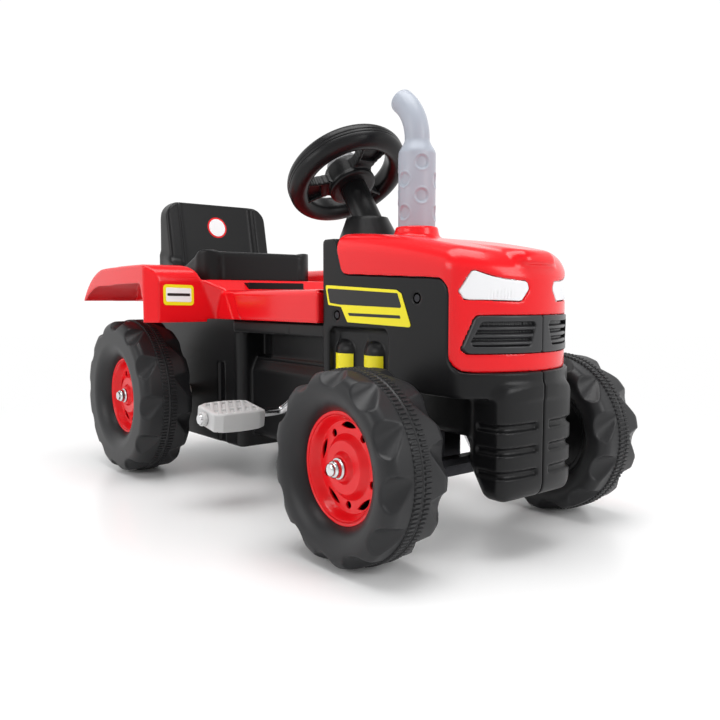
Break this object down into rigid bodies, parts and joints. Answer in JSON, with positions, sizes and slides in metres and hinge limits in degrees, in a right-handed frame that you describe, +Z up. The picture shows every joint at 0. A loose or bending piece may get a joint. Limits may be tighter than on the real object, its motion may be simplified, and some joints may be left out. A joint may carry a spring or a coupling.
{
  "type": "ride-on pedal tractor",
  "caption": "Child's ride-on pedal tractor with hood, mudguards, bucket seat, steering linkage and chain drive to the rear axle.",
  "frame": {"origin": "on the floor under the middle of the tractor's box", "axes": "+X forward along the tractor, +Y to the rider's left, +Z up"},
  "size_m": [0.792, 0.41, 0.5198],
  "materials": {
    "red_plastic": "gloss",
    "black_plastic": "satin",
    "tyre_plastic": "matt",
    "grey_plastic": "satin",
    "pedal_plastic": "satin",
    "black_steel": "satin",
    "plated_steel": "polished",
    "clear_lens": "clear",
    "bush_plastic": "matt"
  },
  "bodies": {
    "chassis": {"body_right": "black_plastic", "body_left": "black_plastic", "hood": "red_plastic", "headlight_lens_right": "clear_lens", "headlight_lens_left": "clear_lens", "headlight_reflector_right": "plated_steel", "headlight_reflector_left": "plated_steel", "grille_right": "black_plastic", "grille_left": "black_plastic", "exhaust_pipe": "grey_plastic", "steering_cowl": "black_plastic", "column_sleeve": "black_plastic", "rear_deck": "red_plastic", "seat_latch": "black_plastic", "front_axle_beam": "black_steel", "kingpin_right": "plated_steel", "kingpin_left": "plated_steel", "rear_axle_bush_right": "bush_plastic", "rear_axle_bush_left": "bush_plastic", "crank_bush_right": "bush_plastic", "crank_bush_left": "bush_plastic", "drive_chain": "black_steel", "tow_hitch": "black_plastic", "body_screw_front_right": "plated_steel", "body_screw_front_left": "plated_steel", "body_screw_rear_right": "plated_steel", "body_screw_rear_left": "plated_steel"},
    "seat": {"seat": "black_plastic"},
    "steering": {"steering_wheel": "black_plastic", "steering_shaft": "plated_steel"},
    "horn": {"horn_button": "grey_plastic"},
    "knuckle_right": {"knuckle_right": "black_steel", "front_axle_nut_right": "plated_steel"},
    "knuckle_left": {"knuckle_left": "black_steel", "front_axle_nut_left": "plated_steel"},
    "tie_rod": {"tie_rod": "black_steel"},
    "front_wheel_right": {"front_tyre_right": "tyre_plastic", "front_rim_right": "red_plastic", "front_inner_rim_right": "black_plastic"},
    "front_wheel_left": {"front_tyre_left": "tyre_plastic", "front_rim_left": "red_plastic", "front_inner_rim_left": "black_plastic"},
    "rear_axle": {"rear_axle": "plated_steel", "rear_axle_spacer_right": "bush_plastic", "rear_axle_spacer_left": "bush_plastic", "rear_sprocket": "black_steel", "rear_axle_nut_right": "plated_steel", "rear_axle_nut_left": "plated_steel", "rear_tyre_right": "tyre_plastic", "rear_rim_right": "red_plastic", "rear_inner_rim_right": "black_plastic"},
    "rear_wheel_left": {"rear_tyre_left": "tyre_plastic", "rear_rim_left": "red_plastic", "rear_inner_rim_left": "black_plastic"},
    "crank": {"pedal_crank": "plated_steel", "crank_sprocket": "black_steel", "pedal_cap_right": "plated_steel", "pedal_cap_left": "plated_steel"},
    "pedal_right": {"pedal_right": "pedal_plastic"},
    "pedal_left": {"pedal_left": "pedal_plastic"}
  },
  "joints": [
    {"name": "knuckle_right_turn", "type": "hinge", "parent": "chassis", "child": "knuckle_right", "pos_m": [0.288, -0.098, 0.1], "axis": [0, 0, 1], "range_deg": [-20, 20]},
    {"name": "knuckle_left_turn", "type": "hinge", "parent": "chassis", "child": "knuckle_left", "pos_m": [0.288, 0.098, 0.1], "axis": [0, 0, 1], "range_deg": [-20, 20]},
    {"name": "steering_turn", "type": "hinge", "parent": "chassis", "child": "steering", "pos_m": [0.063, 0, 0.435], "axis": [-0.5736, 0, 0.8192], "range_deg": [-40, 40]},
    {"name": "tie_rod_swing", "type": "hinge", "parent": "knuckle_right", "child": "tie_rod", "pos_m": [0.321, -0.098, 0.096], "axis": [0, 0, 1], "range_deg": [-20, 20]},
    {"name": "horn_press", "type": "slide", "parent": "steering", "child": "horn", "axis": [0.5736, 0, -0.8192], "range_m": [0, 0.004], "stiffness_N_per_m": 400},
    {"name": "front_wheel_right_spin", "type": "hinge", "parent": "knuckle_right", "child": "front_wheel_right", "pos_m": [0.288, -0.165, 0.1], "axis": [0, 1, 0], "continuous": true},
    {"name": "front_wheel_left_spin", "type": "hinge", "parent": "knuckle_left", "child": "front_wheel_left", "pos_m": [0.288, 0.165, 0.1], "axis": [0, 1, 0], "continuous": true},
    {"name": "rear_axle_spin", "type": "hinge", "parent": "chassis", "child": "rear_axle", "pos_m": [-0.262, 0, 0.118], "axis": [0, 1, 0], "continuous": true},
    {"name": "rear_wheel_left_spin", "type": "hinge", "parent": "rear_axle", "child": "rear_wheel_left", "pos_m": [-0.262, 0.165, 0.118], "axis": [0, 1, 0], "continuous": true},
    {"name": "crank_spin", "type": "hinge", "parent": "chassis", "child": "crank", "pos_m": [0.069, 0, 0.146], "axis": [0, 1, 0], "continuous": true},
    {"name": "pedal_right_spin", "type": "hinge", "parent": "crank", "child": "pedal_right", "pos_m": [0.01877, -0.157, 0.117], "axis": [0, 1, 0], "continuous": true},
    {"name": "pedal_left_spin", "type": "hinge", "parent": "crank", "child": "pedal_left", "pos_m": [0.11923, 0.157, 0.175], "axis": [0, 1, 0], "continuous": true},
    {"name": "seat_slide", "type": "slide", "parent": "chassis", "child": "seat", "axis": [1, 0, 0], "range_m": [-0.02, 0.02]}
  ],
  "couplings": [
    {"joint": "knuckle_left_turn", "follows": "knuckle_right_turn", "ratio": 1},
    {"joint": "steering_turn", "follows": "knuckle_right_turn", "ratio": 2},
    {"joint": "tie_rod_swing", "follows": "knuckle_right_turn", "ratio": -1},
    {"joint": "crank_spin", "follows": "rear_axle_spin", "ratio": 0.68421}
  ]
}
